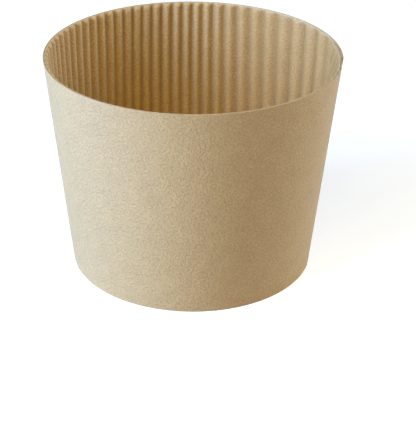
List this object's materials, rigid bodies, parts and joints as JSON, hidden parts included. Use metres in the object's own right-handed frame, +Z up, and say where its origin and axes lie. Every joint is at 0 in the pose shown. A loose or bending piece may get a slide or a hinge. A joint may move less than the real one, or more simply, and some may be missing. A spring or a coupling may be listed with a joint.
{
  "type": "coffee cup sleeve",
  "caption": "Tapered corrugated kraft sleeve, open at both ends: a smooth outer liner with a fluted medium glued inside and a lapped, glued seam. It slides on a paper hot cup.",
  "frame": {"origin": "centre of the base opening, on the plane the sleeve stands on", "axes": "+Z up along the sleeve's axis, from the narrow end to the wide end; +Y to the back, where the flutes climb straight up; +X to the right, where the two ends of the board lap"},
  "size_m": [0.086, 0.086, 0.0648],
  "materials": {
    "liner_kraft": "matte",
    "medium_kraft": "matte"
  },
  "bodies": {
    "root": {"outer_liner": "liner_kraft", "fluted_medium": "medium_kraft"}
  },
  "joints": []
}
